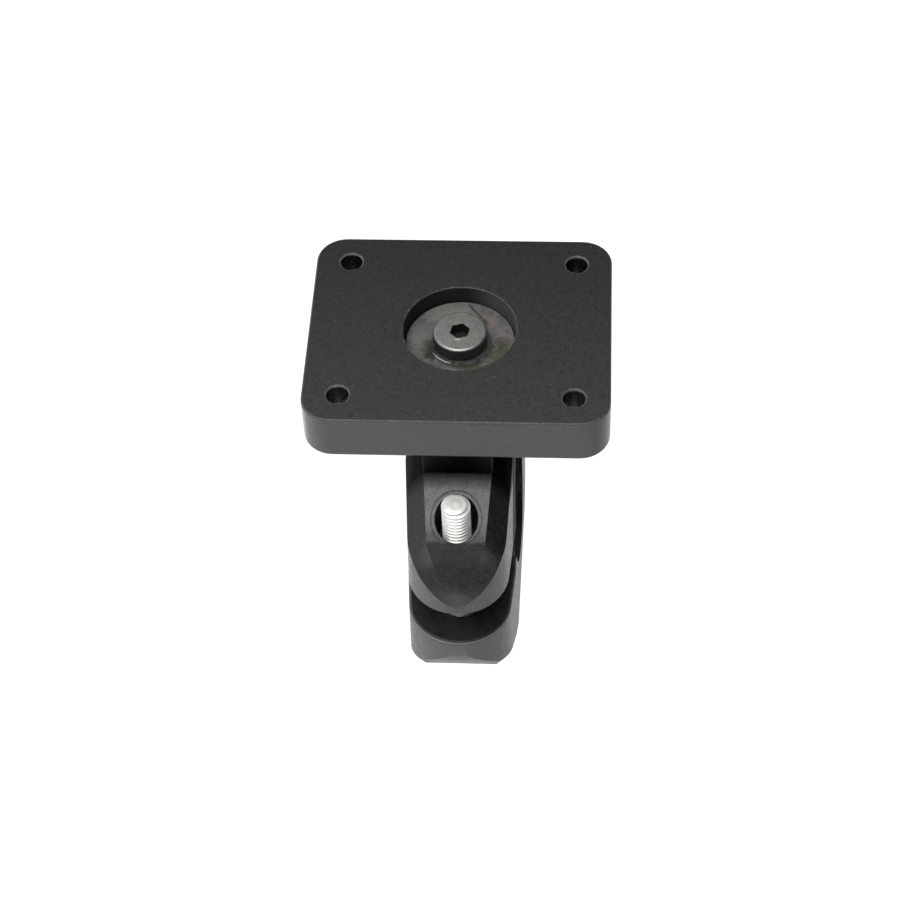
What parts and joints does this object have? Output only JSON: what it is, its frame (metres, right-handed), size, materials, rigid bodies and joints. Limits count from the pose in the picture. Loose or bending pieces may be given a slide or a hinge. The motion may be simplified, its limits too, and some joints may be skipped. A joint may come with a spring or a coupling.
{
  "type": "pipe clamp mount",
  "caption": "Flat drilled mounting plate carried on a hinged jaw clamp that grips a round tube and is drawn tight by a cap screw from below.",
  "frame": {"origin": "point on the axis of the gripped tube, below the centre of the mounting plate", "axes": "+X along the tube, -Y towards the clamp bolt, +Z out of the mounting plate's face"},
  "size_m": [0.0498, 0.0585, 0.0598],
  "materials": {
    "plate_black": "fine matte black moulding",
    "jaw_black": "satin black moulding",
    "liner_rubber": "dull black rubber",
    "zinc_plate": "bright zinc plate",
    "disc_steel": "stained grey steel",
    "dark_steel": "dark oxide steel",
    "insert_steel": "oiled dark steel"
  },
  "bodies": {
    "upper_clamp": {"upper_jaw": "jaw_black", "upper_liner": "liner_rubber", "hinge_pin": "dark_steel", "plate_disc": "disc_steel", "plate_screw": "dark_steel", "bolt_insert": "insert_steel", "plate_insert": "insert_steel"},
    "plate": {"mounting_plate": "plate_black"},
    "lower_clamp": {"lower_jaw": "jaw_black", "lower_liner": "liner_rubber"},
    "bolt_carriage": {"bolt_washer": "zinc_plate"},
    "bolt": {"clamp_bolt": "zinc_plate"}
  },
  "joints": [
    {"name": "plate_swivel", "type": "hinge", "parent": "upper_clamp", "child": "plate", "pos_m": [0, 0, 0.0305], "axis": [0, 0, 1], "continuous": true},
    {"name": "jaw_hinge", "type": "hinge", "parent": "upper_clamp", "child": "lower_clamp", "pos_m": [0, 0.0206, 0], "axis": [1, 0, 0], "range_deg": [0, 3]},
    {"name": "bolt_travel", "type": "slide", "parent": "upper_clamp", "child": "bolt_carriage", "axis": [0, 0, -1], "range_m": [0, 0.00262]},
    {"name": "bolt_turn", "type": "hinge", "parent": "bolt_carriage", "child": "bolt", "pos_m": [0, -0.0241, 0], "axis": [0, 0, -1], "range_deg": [0, 1180]}
  ],
  "couplings": [
    {"joint": "bolt_turn", "follows": "bolt_travel", "rad_per_m": 7854},
    {"joint": "jaw_hinge", "follows": "bolt_travel", "rad_per_m": 19.98}
  ]
}
